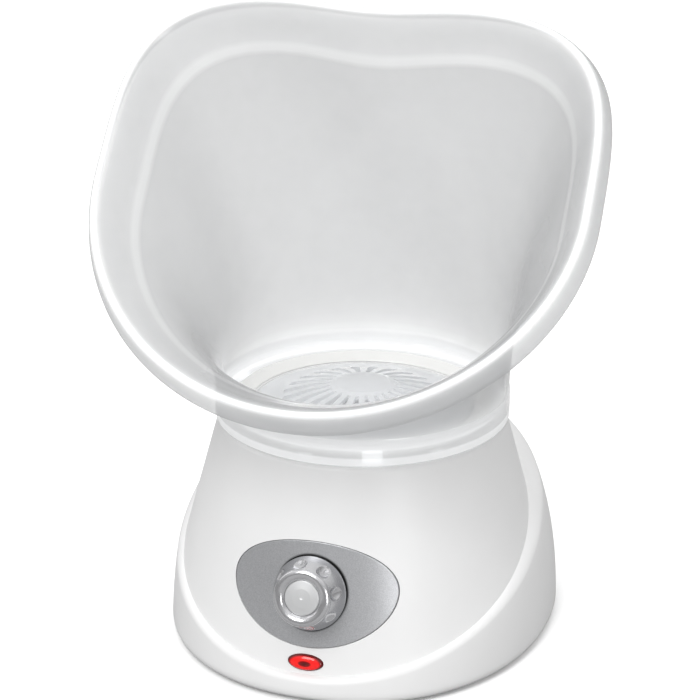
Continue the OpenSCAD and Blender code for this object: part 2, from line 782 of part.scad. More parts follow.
module power_cord() {
  color(white) {
    translate([0, block_y + 16, cord_exit_z])
      rotate([-90, 0, 0]) cylinder(r = cord_r, h = sag_start_y - block_y - 16, $fn = 48);
    translate([0, sag_start_y, cord_exit_z - bend_r]) sag_bend();
    translate([0, sag_end_y, cord_floor_z + bend_r]) rotate([180, 0, 0]) sag_bend();
    translate([0, (sag_start_y + sag_end_y) / 2, (cord_exit_z + cord_floor_z) / 2])
      rotate([37, 23, 0]) sphere(r = cord_r * 1.08, $fn = 48);
    folded_runs();
    lead([[-4, block_y + 18, cord_exit_z], [-9, block_y + 11, lead_z], [-9, block_y + 7, lead_z]], 1.2);
    lead([[4, block_y + 18, cord_exit_z], [9, block_y + 11, lead_z], [9, block_y + 7, lead_z]], 1.2);
  }
}

plug_x = -(cord_runs - 1) * 2 * fold_r;
plug_half_h = 4.7;
plug_len = 34;

// frame of the plug: +Z points out of the cord's end toward the pins
module at_plug() {
  translate([plug_x, sag_end_y, plug_half_h + eps]) rotate([90, 0, 0]) children();
}

module power_plug() {
  color(white)
    at_plug() {
      translate([0, 0, 0.1]) cylinder(r = plug_half_h - 0.2, h = 10, $fn = 48);
      translate([0, 0, 10]) linear_extrude(height = plug_len - 10)
        union() {
          square([21, 2 * plug_half_h], center = true);
          for (s = [-1, 1]) {
            translate([s * 10.5, 0]) circle(r = plug_half_h, $fn = 48);
          }
        }
    }
}

module plug_pins() {
  color([0.8, 0.75, 0.6])
    at_plug()
      for (s = [-1, 1]) {
        translate([s * 9.3, 0, plug_len + eps]) cylinder(r = 2, h = 18, $fn = 48);
      }
}

base_housing();
bottom_cover();
rubber_feet();
cover_screws();
control_panel();
control_knob();
knob_cap();
regulator_spindle();
regulator_body();
spindle_nut();
pilot_lens();
pilot_lamp();
lamp_sleeve();
face_mask();
splash_ring();
steam_vent();
water_dish();
dish_seal();
heater_disc();
heater_clamp();
clamp_screws();
heat_shield();
thermal_cutout();
thermal_fuse();
terminal_block();
wiring();
cord_bushing();
cord_clamp();
cord_clamp_screws();
power_cord();
power_plug();
plug_pins();
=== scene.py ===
"""Looks of the facial steamer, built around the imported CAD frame.

The scene is in metres, with -Y toward the user. The named lengths of the object are in millimetres,
and those of the stage and the camera are in metres, apart from the focal length.
"""
import json
import math

import bmesh
import bpy
import numpy as np
from mathutils import Matrix, Vector


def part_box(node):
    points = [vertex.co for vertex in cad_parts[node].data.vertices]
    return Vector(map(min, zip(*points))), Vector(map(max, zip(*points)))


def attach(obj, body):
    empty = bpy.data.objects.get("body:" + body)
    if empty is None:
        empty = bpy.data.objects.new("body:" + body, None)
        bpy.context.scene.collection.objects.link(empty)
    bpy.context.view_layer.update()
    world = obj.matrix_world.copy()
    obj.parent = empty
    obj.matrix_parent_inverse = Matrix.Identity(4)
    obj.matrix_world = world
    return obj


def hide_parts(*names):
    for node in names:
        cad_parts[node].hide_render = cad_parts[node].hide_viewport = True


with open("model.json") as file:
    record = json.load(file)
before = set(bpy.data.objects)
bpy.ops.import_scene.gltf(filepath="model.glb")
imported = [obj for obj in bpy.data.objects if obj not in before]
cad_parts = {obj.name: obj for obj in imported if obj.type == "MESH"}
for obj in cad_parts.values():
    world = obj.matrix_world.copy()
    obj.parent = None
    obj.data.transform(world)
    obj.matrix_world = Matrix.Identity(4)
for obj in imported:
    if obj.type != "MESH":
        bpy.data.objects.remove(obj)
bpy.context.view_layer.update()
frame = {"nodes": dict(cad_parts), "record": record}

MM = 0.001

# ---------------------------------------------------------------- shape of the base, in millimetres

SEAT_Z = 99.0
TOP_R = 64.0
CONE_SLOPE = 0.275
SKIRT_HALF_W = 86.5
SKIRT_FRONT = 93.0
SKIRT_BACK = 98.0
SKIRT_MID_Y = 8.0
SHOULDER_LOW_Z = 12.0
SHOULDER_RISE = 82.0
SHOULDER_H = 3.0
WALL = 2.6
RIM_Z = 1.5
SQUARENESS = 2.15
KNOB_Z = 46.0
LENS_Z = 16.9
LENS_W = 15.4
LENS_H = 6.8
PANEL_HALF_W = 36.4
PANEL_UP = 20.7
PANEL_DOWN = 23.3
PANEL_MID_Z = KNOB_Z + 0.5
CONE_TILT = math.atan(CONE_SLOPE)
KNOB_SEAT_R = 16.6
FOOT_ROUND = 5.0
SEAT_ROUND = 2.6
SEAT_IN = 9.5
CORD_EXIT_Z = 17.0


def cone_at(z):
    return TOP_R + (SEAT_Z - z) * CONE_SLOPE


def flare(z, power):
    return 1.0 - np.clip(z / SEAT_Z, 0.0, 1.0) ** power


def egg(t, z):
    """Plan of the skirt at height z; t is the angle from the front, in radians."""
    half_w = TOP_R + (SKIRT_HALF_W - TOP_R) * flare(z, 2.2)
    front = TOP_R + (SKIRT_FRONT - TOP_R) * flare(z, 1.25)
    back = TOP_R + (SKIRT_BACK - TOP_R) * flare(z, 2.6)
    mid = SKIRT_MID_Y * flare(z, 3)
    reach = np.where(np.cos(t) > 0, front + mid, back - mid)
    square = (np.abs(np.sin(t)) ** SQUARENESS + np.abs(np.cos(t)) ** SQUARENESS) ** (-1 / SQUARENESS)
    return np.stack([half_w * np.sin(t) * square, mid - reach * np.cos(t) * square], -1)


def shoulder_z(t):
    return SHOULDER_LOW_Z + SHOULDER_RISE * (1 - np.cos(t)) / 2


def skirt_at(t, z, inset):
    p = egg(t, z)
    r = np.linalg.norm(p, axis=-1)
    keep = np.maximum(r, cone_at(np.maximum(z, shoulder_z(t))) + 1.8) - inset
    return p * (keep / r)[..., None]


def upper_at(t, z, inset):
    r = cone_at(z) - inset
    return np.stack([r * np.sin(t), -r * np.cos(t)], -1)


def with_z(p, z):
    return np.concatenate([p, np.broadcast_to(z, p.shape[:-1])[..., None]], -1)


def ease(k):
    c = np.clip(k, 0.0, 1.0)
    return c * c * (3 - 2 * c)


def housing_rows(cols):
    """Rows of the housing's closed section: outside going up, over the seat, inside coming down."""
    t = np.linspace(0, 2 * math.pi, cols, endpoint=False)
    shoulder = shoulder_z(t)
    low = shoulder - SHOULDER_H
    rows = []
    for a in np.radians(np.linspace(0, 90, 9)):
        z = RIM_Z + FOOT_ROUND * (1 - math.cos(a))
        rows.append(with_z(skirt_at(t, np.full(cols, z), 3.6 * (1 - math.sin(a)) ** 1.3), z))
    for k in np.linspace(0.07, 1.0, 14):
        z = RIM_Z + FOOT_ROUND + (low - RIM_Z - FOOT_ROUND) * k
        rows.append(with_z(skirt_at(t, z, 0.0), z))
    for a in np.radians(np.linspace(80, 0, 9)):
        z = shoulder - SHOULDER_H * (1 - math.cos(a))
        mix = upper_at(t, z, 0.0) + (skirt_at(t, z, 0.0) - upper_at(t, z, 0.0)) * math.sin(a)
        rows.append(with_z(mix, z))
    for k in np.linspace(0.08, 1.0, 14):
        z = shoulder + (SEAT_Z - SEAT_ROUND - shoulder) * k
        rows.append(with_z(upper_at(t, z, 0.0), z))
    for a in np.radians(np.linspace(15, 90, 6)):
        z = SEAT_Z - SEAT_ROUND * (1 - math.sin(a))
        rows.append(with_z(upper_at(t, np.full(cols, z), SEAT_ROUND * (1 - math.cos(a))), z))
    rows.append(with_z(upper_at(t, np.full(cols, SEAT_Z), 4.6), SEAT_Z))
    rows.append(with_z(upper_at(t, np.full(cols, SEAT_Z), SEAT_IN), SEAT_Z))
    rows.append(with_z(upper_at(t, np.full(cols, SEAT_Z), SEAT_IN), SEAT_Z - WALL))
    for z in (SEAT_Z - WALL, 90, 82, 72, 62, 52, 42, 32, 22, 13, 8, RIM_Z):
        w = ease((shoulder - 4 - z) / 8)[:, None]
        foot = 3.0 if z < 10 else 0.0
        zz = np.full(cols, float(z))
        inner = upper_at(t, zz, WALL) * (1 - w) + skirt_at(t, zz, WALL + foot) * w
        rows.append(with_z(inner, z))
    return rows


# ---------------------------------------------------------------- shape of the mask, in millimetres

MASK_HALF_W = 110.0
MASK_MID_Z = 205.0
MASK_CHIN = 75.0
MASK_FOREHEAD = 68.0
MASK_WALL = 2.0
NECK_R = 65.4
OPENING_NORMAL = np.array([0.0, -0.72, 0.694])
# places near the lip: outward in the opening's plane, then along its normal
FLARE_START = (-19.2, -13.8)
LIP_CREST = (-4.8, 10.7)


def lean(z):
    """Depth of the opening at height z."""
    u = (z - 200) / 100
    return -38.2 + 91.8 * u - 7.9 * u * u


def lip_edge(a):
    """Edge of the opening; a is the angle from the chin, in radians."""
    lower = np.cos(a) > 0
    n = np.where(lower, 2.0, 3.7)
    h = np.where(lower, MASK_CHIN, MASK_FOREHEAD)
    r = ((np.abs(np.sin(a)) / MASK_HALF_W) ** n + (np.abs(np.cos(a)) / h) ** n) ** (-1 / n)
    ear = np.where(lower, 0.0, 2.4 * np.sin(2 * a) ** 2)
    z = MASK_MID_Z - r * np.cos(a) + ear
    return np.stack([r * np.sin(a), lean(z), z], -1)


OPENING_MID = np.array([0.0, lean(MASK_MID_Z), MASK_MID_Z])


def rim(a, out, up):
    """Point near the lip, out in the opening's plane and up along its normal."""
    e = lip_edge(a)
    d = e - OPENING_MID
    return e + d * (out / np.linalg.norm(d, axis=-1))[..., None] + OPENING_NORMAL * up


def bowl(a, v):
    """Inner wall from the neck (v = 0) to the flare (v = 1)."""
    r = NECK_R - 0.4 - MASK_WALL
    p0 = np.stack([r * np.sin(a), -r * np.cos(a), np.full_like(a, SEAT_Z + 10)], -1)
    p3 = rim(a, *FLARE_START)
    t = rim(a, *LIP_CREST) - p3
    span = np.linalg.norm(p3 - p0, axis=-1)[..., None]
    p1 = p0 + np.array([0, 0, 0.36]) * span
    p2 = p3 - t / np.linalg.norm(t, axis=-1)[..., None] * 0.3 * span
    w = 1 - v
    return p0 * w ** 3 + p1 * 3 * v * w * w + p2 * 3 * v * v * w + p3 * v ** 3


def bowl_normal(a, v):
    da = bowl(a + 0.01, v) - bowl(a - 0.01, v)
    dv = bowl(a, v + 0.01) - bowl(a, v - 0.01)
    n = np.cross(da, dv)
    return n / np.linalg.norm(n, axis=-1)[..., None]


def spline(points, per_span):
    """Smooth curve through control points, several steps per span."""
    p = np.array(points, float)
    p = np.vstack([2 * p[0] - p[1], p, 2 * p[-1] - p[-2]])
    out = []
    for i in range(1, len(p) - 2):
        for k in range(per_span):
            s = k / per_span
            out.append(0.5 * ((2 * p[i]) + (p[i + 1] - p[i - 1]) * s
                              + (2 * p[i - 1] - 5 * p[i] + 4 * p[i + 1] - p[i + 2]) * s * s
                              + (3 * p[i] - p[i - 1] - 3 * p[i + 1] + p[i + 2]) * s ** 3))
    out.append(p[-2])
    return np.array(out)


def mask_rows(cols):
    """Rows of the mask's section: outer wall up, round the lip, inner wall down; and their whiteness,
    which is milkiness plus painted light: a painted highlight along the lip crest and the inner fold, and
    painted brightening low on the neck.
    """
    a = np.linspace(0, 2 * math.pi, cols, endpoint=False)
    rows = []
    steps = np.linspace(0, 1, 34)
    for v in steps:
        rows.append(bowl(a, v) + bowl_normal(a, v) * MASK_WALL)
    lip = spline([[-17.3, -14.7], [-12.7, -4.9], [-8.8, 3.1], [-6.6, 7.0], [-4.8, 7.4], [-3.1, 4],
                  [-1.9, -0.1]], 3)[1:]
    # the lowest outer rows of the bowl are whitened, partly for the neck's own milkiness and partly as
    # painted light lifting it out of the mask's shade
    white = [0.35 * math.exp(-(v / 0.12) ** 2) for v in steps]
    for o, h in lip:
        rows.append(rim(a, o, h))
        white.append(0.3)
    for o, h in spline([[-1.9, -0.1], [-1.1, -0.35], [-0.1, 0.1], [-1.2, 4.5], [-2.9, 9.2], [-4.8, 10.6],
                        [-7.2, 9.3], [-10.6, 4], [-14.5, -4], [-19.2, -13.8]], 4)[1:-1]:
        rows.append(rim(a, o, h))
        # painted highlight: a bright line along the lip crest and a fainter one along the inner fold, on
        # top of the thicker plastic there looking milkier
        crest_highlight = 0.95 * math.exp(-((o - LIP_CREST[0]) / 1.7) ** 2)
        fold_highlight = 0.3 * math.exp(-((o + 17.5) / 1.2) ** 2)
        white.append(max(crest_highlight, fold_highlight))
    for v in steps[::-1]:
        rows.append(bowl(a, v))
        # painted light: the lowest inner rows are whitened too, lifting the shaded neck
        white.append(0.45 * math.exp(-(v / 0.05) ** 2))
    return rows, white


# ---------------------------------------------------------------- mesh helpers

def add_object(name, verts, faces, smooth_deg=35.0):
    mesh = bpy.data.meshes.new(name)
    mesh.from_pydata([tuple(v) for v in verts], [], faces)
    mesh.validate()
    mesh.update()
    bm = bmesh.new()
    bm.from_mesh(mesh)
    bmesh.ops.recalc_face_normals(bm, faces=bm.faces)
    bm.to_mesh(mesh)
    bm.free()
    obj = bpy.data.objects.new(name, mesh)
    bpy.context.scene.collection.objects.link(obj)
    soften(obj, smooth_deg)
    return obj


def soften(obj, degrees):
    """Smooth shading with edges sharper than the angle kept crisp."""
    mesh = obj.data
    mesh.shade_smooth()
    mesh.set_sharp_from_angle(angle=math.radians(degrees))


def ring_mesh(name, rows, smooth_deg=35.0):
    """Closed loft: each row is a closed loop of points, and the last row joins the first."""
    m = len(rows)
    n = len(rows[0])
    verts = np.concatenate(rows) * MM
    faces = []
    for j in range(m):
        k = (j + 1) % m
        for i in range(n):
            h = (i + 1) % n
            faces.append((j * n + i, j * n + h, k * n + h, k * n + i))
    return add_object(name, verts, faces, smooth_deg)


def lathe(name, profile, segments=160, matrix=None, smooth_deg=35.0, wobble=None):
    """Solid turned about Z from a closed (r, z) profile; points with r = 0 share one vertex."""
    bm = bmesh.new()
    rings = []
    for r, z in profile:
        if r < 1e-6:
            rings.append([bm.verts.new((0, 0, z * MM))])
            continue
        ring = []
        for i in range(segments):
            a = 2 * math.pi * i / segments
            rr, zz = wobble(r, z, a) if wobble else (r, z)
            ring.append(bm.verts.new((rr * math.cos(a) * MM, rr * math.sin(a) * MM, zz * MM)))
        rings.append(ring)
    for j in range(len(rings)):
        lo, hi = rings[j], rings[(j + 1) % len(rings)]
        if len(lo) == 1 and len(hi) == 1:
            continue
        for i in range(segments):
            h = (i + 1) % segments
            if len(lo) == 1:
                bm.faces.new((lo[0], hi[h], hi[i]))
            elif len(hi) == 1:
                bm.faces.new((lo[i], lo[h], hi[0]))
            else:
                bm.faces.new((lo[i], lo[h], hi[h], hi[i]))
    bmesh.ops.recalc_face_normals(bm, faces=bm.faces)
    if matrix is not None:
        bm.transform(matrix)
    mesh = bpy.data.meshes.new(name)
    bm.to_mesh(mesh)
    bm.free()
    obj = bpy.data.objects.new(name, mesh)
    bpy.context.scene.collection.objects.link(obj)
    soften(obj, smooth_deg)
    return obj


def whiten(obj, weights):
    """Marks how milky each row of a lofted or turned piece is; the same weight also carries painted light
    (painted highlights and brightening of shaded rows) and makes the row glow.
    """
    mesh = obj.data
    marks = mesh.attributes.new("milk_and_painted_light", "FLOAT", "POINT")
    marks.data.foreach_set("value", np.repeat(weights, len(mesh.vertices) // len(weights)))


def arc_blocks(name, r_in, r_out, z0, z1, centres, half, steps=6):
    """Short wedges of a ring, with centres and half width in degrees, counted from the front."""
    verts, faces = [], []
    for centre in centres:
        base = len(verts)
        for k in range(steps + 1):
            a = math.radians(centre - half + 2 * half * k / steps)
            for r, z in ((r_in, z0), (r_out, z0), (r_out, z1), (r_in, z1)):
                verts.append((r * math.sin(a) * MM, -r * math.cos(a) * MM, z * MM))
        for k in range(steps):
            lo, hi = base + 4 * k, base + 4 * k + 4
            faces += [(lo + i, lo + (i + 1) % 4, hi + (i + 1) % 4, hi + i) for i in range(4)]
        faces.append(tuple(base + i for i in (3, 2, 1, 0)))
        faces.append(tuple(base + 4 * steps + i for i in range(4)))
    return add_object(name, verts, faces)


def front_matrix(z):
    """Frame on the housing's front at height z, with +Z pointing out along the tilted axis."""
    return (Matrix.Translation((0, -cone_at(z) * MM, z * MM))
            @ Matrix.Rotation(math.pi / 2 - CONE_TILT, 4, "X"))


def cut(obj, cutter):
    """Takes the cutter's volume out of the object and deletes the cutter."""
    mod = obj.modifiers.new("cut", "BOOLEAN")
    mod.operation = "DIFFERENCE"
    mod.solver = "EXACT"
    mod.object = cutter
    bpy.context.view_layer.update()
    depsgraph = bpy.context.evaluated_depsgraph_get()
    mesh = bpy.data.meshes.new_from_object(obj.evaluated_get(depsgraph))
    obj.modifiers.remove(mod)
    old = obj.data
    obj.data = mesh
    mesh.name = old.name
    bpy.data.meshes.remove(old)
    bpy.data.objects.remove(cutter)


def panel_slab(name, grow, deep, shallow, steps=26, edge_round=0.0, segments=144):
    """Solid that follows the cone between two depths, inside the panel's outline."""
    angles = np.linspace(0, 2 * math.pi, segments, endpoint=False)

    def layer(depth, shares):
        rows = []
        for s, dip in shares:
            h = np.where(np.sin(angles) > 0, PANEL_UP, PANEL_DOWN) + grow
            x = (PANEL_HALF_W + grow) * np.cos(angles) * s
            z = PANEL_MID_Z + h * np.sin(angles) * s
            y = -np.sqrt((cone_at(z) - depth - dip) ** 2 - x * x)
            rows.append(np.stack([x, y, z], -1))
        return rows

    flat = [(s, 0.0) for s in np.linspace(1, 0, steps)[:-1]]
    if edge_round:
        bend = [(1.0, edge_round), (1.0 - 0.2 * edge_round / PANEL_HALF_W, 0.35 * edge_round),
                (1.0 - edge_round / PANEL_HALF_W, 0.0)]
        flat = bend + [(s, 0.0) for s in np.linspace(1 - 2 * edge_round / PANEL_HALF_W, 0, steps)[:-1]]
    top = layer(shallow, flat)
    bottom = layer(deep, [(s, 0.0) for s in np.linspace(1, 0, steps)[:-1]])
    rows = top[::-1] + bottom
    n = segments
    verts = list(np.concatenate(rows))
    faces = []
    for j in range(len(rows) - 1):
        for i in range(n):
            h = (i + 1) % n
            faces.append((j * n + i, j * n + h, (j + 1) * n + h, (j + 1) * n + i))
    for depth, ring in ((shallow, 0), (deep, len(rows) - 1)):
        verts.append(np.array([0, -(cone_at(PANEL_MID_Z) - depth), PANEL_MID_Z]))
        c = len(verts) - 1
        for i in range(n):
            faces.append((c, ring * n + i, ring * n + (i + 1) % n))
    return add_object(name, np.array(verts) * MM, faces)


def oval_slab(name, w, h, z0, z1, matrix, segments=96):
    rows = []
    a = np.linspace(0, 2 * math.pi, segments, endpoint=False)
    for z in (z0, z1):
        rows.append(np.stack([w / 2 * np.cos(a), h / 2 * np.sin(a), np.full(segments, z)], -1))
    verts = np.concatenate(rows) * MM
    faces = [tuple(range(segments)), tuple(range(segments, 2 * segments))]
    for i in range(segments):
        k = (i + 1) % segments
        faces.append((i, k, segments + k, segments + i))
    obj = add_object(name, verts, faces)
    obj.data.transform(matrix)
    return obj


# ---------------------------------------------------------------- materials

def material(name):
    mat = bpy.data.materials.new(name)
    mat.use_nodes = True
    tree = mat.node_tree
    return mat, tree, tree.nodes["Principled BSDF"]


def node(tree, kind, **values):
    n = tree.nodes.new(kind)
    for key, value in values.items():
        if key in n.inputs:
            n.inputs[key].default_value = value
        else:
            setattr(n, key, value)
    return n


def ramp(tree, source, stops):
    r = tree.nodes.new("ShaderNodeValToRGB")
    while len(r.color_ramp.elements) < len(stops):
        r.color_ramp.elements.new(0.5)
    for element, (pos, colour) in zip(r.color_ramp.elements, stops):
        element.position = pos
        element.color = (*colour, 1.0) if isinstance(colour, tuple) else (colour, colour, colour, 1.0)
    tree.links.new(source, r.inputs[0])
    return r.outputs[0]


def noise(tree, scale, detail=4.0, rough=0.6, stretch=None):
    tc = tree.nodes.new("ShaderNodeTexCoord")
    n = node(tree, "ShaderNodeTexNoise", Scale=scale, Detail=detail, Roughness=rough)
    if stretch:
        m = tree.nodes.new("ShaderNodeMapping")
        m.inputs["Scale"].default_value = stretch
        tree.links.new(tc.outputs["Object"], m.inputs[0])
        tree.links.new(m.outputs[0], n.inputs["Vector"])
    else:
        tree.links.new(tc.outputs["Object"], n.inputs["Vector"])
    return n.outputs[0]


def bump(tree, height, strength, distance, previous=None):
    b = node(tree, "ShaderNodeBump", Strength=strength, Distance=distance)
    tree.links.new(height, b.inputs["Height"])
    if previous is not None:
        tree.links.new(previous, b.inputs["Normal"])
    return b.outputs[0]


def plain(name, colour, roughness, metallic=0.0, vary=0.04, grain=900.0, bump_mm=0.01, coat=0.0,
          stretch=None, rough_vary=0.06, specular=None):
    """Node material with fine colour variation, roughness breakup and surface grain."""
    mat, tree, bsdf = material(name)
    fine = noise(tree, grain, 5.0, 0.6, stretch)
    broad = noise(tree, 35.0, 3.0, 0.5)
    dark = tuple(max(0.0, c * (1 - vary)) for c in colour)
    light = tuple(min(1.0, c * (1 + vary)) for c in colour)
    tree.links.new(ramp(tree, broad, [(0.3, dark), (0.7, light)]), bsdf.inputs["Base Color"])
    tree.links.new(ramp(tree, fine, [(0.3, max(0.02, roughness - rough_vary)),
                                     (0.7, min(1.0, roughness + rough_vary))]), bsdf.inputs["Roughness"])
    tree.links.new(bump(tree, fine, 0.35, bump_mm * MM), bsdf.inputs["Normal"])
    bsdf.inputs["Metallic"].default_value = metallic
    bsdf.inputs["Coat Weight"].default_value = coat
    bsdf.inputs["Coat Roughness"].default_value = 0.12
    if specular is not None:
        bsdf.inputs["Specular IOR Level"].default_value = specular
    return mat


# painted light: emission strength per unit of row whiteness, and the small glow given to the whole sheet
PAINTED_EDGE_GLOW = 0.38
PAINTED_SHEET_GLOW = 0.035


def clear_plastic(name, tint, grazing_tint, haze, edge_haze, gloss_rough, milk=(0.9, 0.91, 0.92)):
    """Milky clear plastic: see-through, darker and hazier at grazing angles, with a soft gloss on top."""
    mat, tree, bsdf = material(name)
    tree.nodes.remove(bsdf)
    out = tree.nodes["Material Output"]
    see = tree.nodes.new("ShaderNodeBsdfTransparent")
    body = node(tree, "ShaderNodeBsdfDiffuse", Color=(*milk, 1.0), Roughness=0.6)
    thin = node(tree, "ShaderNodeBsdfTranslucent", Color=(*milk, 1.0))
    cloudy = node(tree, "ShaderNodeMixShader", Fac=0.5)
    tree.links.new(body.outputs[0], cloudy.inputs[1])
    tree.links.new(thin.outputs[0], cloudy.inputs[2])
    facing = node(tree, "ShaderNodeLayerWeight", Blend=0.35)
    see_tint = ramp(tree, facing.outputs["Facing"], [(0.1, tint), (0.8, grazing_tint)])
    tree.links.new(see_tint, see.inputs["Color"])
    soft = noise(tree, 22.0, 3.0, 0.55)
    flow = noise(tree, 60.0, 5.0, 0.6, (1.0, 1.0, 0.25))
    curve = node(tree, "ShaderNodeMath", operation="POWER")
    curve.inputs[1].default_value = 1.6
    tree.links.new(facing.outputs["Facing"], curve.inputs[0])
    scale = node(tree, "ShaderNodeMapRange")
    scale.inputs["To Min"].default_value = haze
    scale.inputs["To Max"].default_value = edge_haze
    tree.links.new(curve.outputs[0], scale.inputs["Value"])
    vary = node(tree, "ShaderNodeMapRange")
    vary.inputs["From Min"].default_value = 0.3
    vary.inputs["From Max"].default_value = 0.7
    vary.inputs["To Min"].default_value = 0.92
    vary.inputs["To Max"].default_value = 1.08
    tree.links.new(soft, vary.inputs["Value"])
    haze_fac = node(tree, "ShaderNodeMath", operation="MULTIPLY", use_clamp=True)
    tree.links.new(scale.outputs[0], haze_fac.inputs[0])
    tree.links.new(vary.outputs[0], haze_fac.inputs[1])
    # milkiness and painted light: this per-row weight whitens the plastic and drives the painted glow
    edge = node(tree, "ShaderNodeAttribute", attribute_name="milk_and_painted_light")
    fac = node(tree, "ShaderNodeMath", operation="MAXIMUM", use_clamp=True)
    tree.links.new(haze_fac.outputs[0], fac.inputs[0])
    tree.links.new(edge.outputs["Fac"], fac.inputs[1])
    core = tree.nodes.new("ShaderNodeMixShader")
    tree.links.new(fac.outputs[0], core.inputs[0])
    tree.links.new(see.outputs[0], core.inputs[1])
    tree.links.new(cloudy.outputs[0], core.inputs[2])
    gloss = node(tree, "ShaderNodeBsdfGlossy", Color=(1.0, 1.0, 1.0, 1.0), Roughness=gloss_rough)
    tree.links.new(ramp(tree, flow, [(0.3, gloss_rough * 0.7), (0.7, gloss_rough * 1.3)]),
                   gloss.inputs["Roughness"])
    normal = bump(tree, flow, 0.25, 0.02 * MM)
    tree.links.new(normal, gloss.inputs["Normal"])
    fresnel = node(tree, "ShaderNodeFresnel", IOR=1.46)
    tree.links.new(normal, fresnel.inputs["Normal"])
    side = tree.nodes.new("ShaderNodeNewGeometry")
    outward = node(tree, "ShaderNodeMath", operation="SUBTRACT")
    outward.inputs[0].default_value = 1.0
    tree.links.new(side.outputs["Backfacing"], outward.inputs[1])
    shine = node(tree, "ShaderNodeMath", operation="MULTIPLY")
    tree.links.new(fresnel.outputs[0], shine.inputs[0])
    tree.links.new(outward.outputs[0], shine.inputs[1])
    final = tree.nodes.new("ShaderNodeMixShader")
    tree.links.new(shine.outputs[0], final.inputs[0])
    tree.links.new(core.outputs[0], final.inputs[1])
    tree.links.new(gloss.outputs[0], final.inputs[2])
    # painted light: the sheet glows by emission, strongest on the rows with a high whiteness weight (lip
    # crest, inner fold, neck) and a little everywhere, brightening the milky plastic
    painted_glow = node(tree, "ShaderNodeEmission", Color=(1.0, 1.0, 1.0, 1.0))
    edge_power = node(tree, "ShaderNodeMath", operation="MULTIPLY_ADD")
    edge_power.inputs[1].default_value = PAINTED_EDGE_GLOW
    edge_power.inputs[2].default_value = PAINTED_SHEET_GLOW
    tree.links.new(edge.outputs["Fac"], edge_power.inputs[0])
    tree.links.new(edge_power.outputs[0], painted_glow.inputs["Strength"])
    lit = tree.nodes.new("ShaderNodeAddShader")
    tree.links.new(final.outputs[0], lit.inputs[0])
    tree.links.new(painted_glow.outputs[0], lit.inputs[1])
    tree.links.new(lit.outputs[0], out.inputs["Surface"])
    return mat


def silver_lacquer(name):
    mat, tree, bsdf = material(name)
    flake = noise(tree, 2600.0, 2.0, 0.5)
    soft = noise(tree, 30.0, 3.0, 0.5)
    base = ramp(tree, flake, [(0.35, (0.42, 0.425, 0.44)), (0.65, (0.54, 0.545, 0.56))])
    # painted shade: the panel's colour goes near black within the knob's seat radius, standing in for the
    # shadow in the gap under the knob
    coords = tree.nodes.new("ShaderNodeTexCoord")
    place = node(tree, "ShaderNodeMapping")
    seat_r = KNOB_SEAT_R * MM
    place.inputs["Location"].default_value = (0.0, 0.0, -KNOB_Z / KNOB_SEAT_R)
    place.inputs["Scale"].default_value = (1 / seat_r, 0.0, 1 / seat_r)
    tree.links.new(coords.outputs["Object"], place.inputs["Vector"])
    reach = node(tree, "ShaderNodeVectorMath", operation="LENGTH")
    tree.links.new(place.outputs[0], reach.inputs[0])
    dark = ramp(tree, reach.outputs["Value"], [(0.95, (0.02, 0.02, 0.02)), (1.0, (1.0, 1.0, 1.0))])
    shade = node(tree, "ShaderNodeMix", data_type="RGBA", blend_type="MULTIPLY")
    shade.inputs[0].default_value = 1.0
    tree.links.new(base, shade.inputs[6])
    tree.links.new(dark, shade.inputs[7])
    tree.links.new(shade.outputs[2], bsdf.inputs["Base Color"])
    bsdf.inputs["Metallic"].default_value = 0.75
    tree.links.new(ramp(tree, soft, [(0.3, 0.36), (0.7, 0.44)]), bsdf.inputs["Roughness"])
    tree.links.new(bump(tree, flake, 0.25, 0.01 * MM), bsdf.inputs["Normal"])
    bsdf.inputs["Coat Weight"].default_value = 0.25
    bsdf.inputs["Coat Roughness"].default_value = 0.25
    return mat


def red_lens(name):
    """Clear red lens: bright body and the dark neon element showing in the middle, with a dark rim that is
    painted shade for the gap around the lens.
    """
    mat, tree, bsdf = material(name)
    coords = tree.nodes.new("ShaderNodeTexCoord")
    place = node(tree, "ShaderNodeMapping")
    place.inputs["Location"].default_value = (0.0, 0.0, -LENS_Z / LENS_H * 2)
    place.inputs["Scale"].default_value = (2 / (LENS_W * MM), 0.0, 2 / (LENS_H * MM))
    tree.links.new(coords.outputs["Object"], place.inputs["Vector"])
    reach = node(tree, "ShaderNodeVectorMath", operation="LENGTH")
    tree.links.new(place.outputs[0], reach.inputs[0])
    # painted shade: the outermost ramp stop darkens the lens rim, standing in for the shadow in the gap
    # around it
    glow = ramp(tree, reach.outputs["Value"], [(0.0, (0.05, 0.0, 0.0)), (0.30, (0.16, 0.0, 0.0)),
                                               (0.42, (0.85, 0.012, 0.01)), (0.80, (0.75, 0.01, 0.01)),
                                               (0.93, (0.10, 0.0, 0.0))])
    tree.links.new(glow, bsdf.inputs["Base Color"])
    tree.links.new(glow, bsdf.inputs["Emission Color"])
    bsdf.inputs["Emission Strength"].default_value = 0.25
    cell = node(tree, "ShaderNodeTexVoronoi", Scale=900.0)
    tree.links.new(coords.outputs["Object"], cell.inputs["Vector"])
    bsdf.inputs["Roughness"].default_value = 0.1
    tree.links.new(bump(tree, cell.outputs["Distance"], 0.2, 0.05 * MM), bsdf.inputs["Normal"])
    return mat


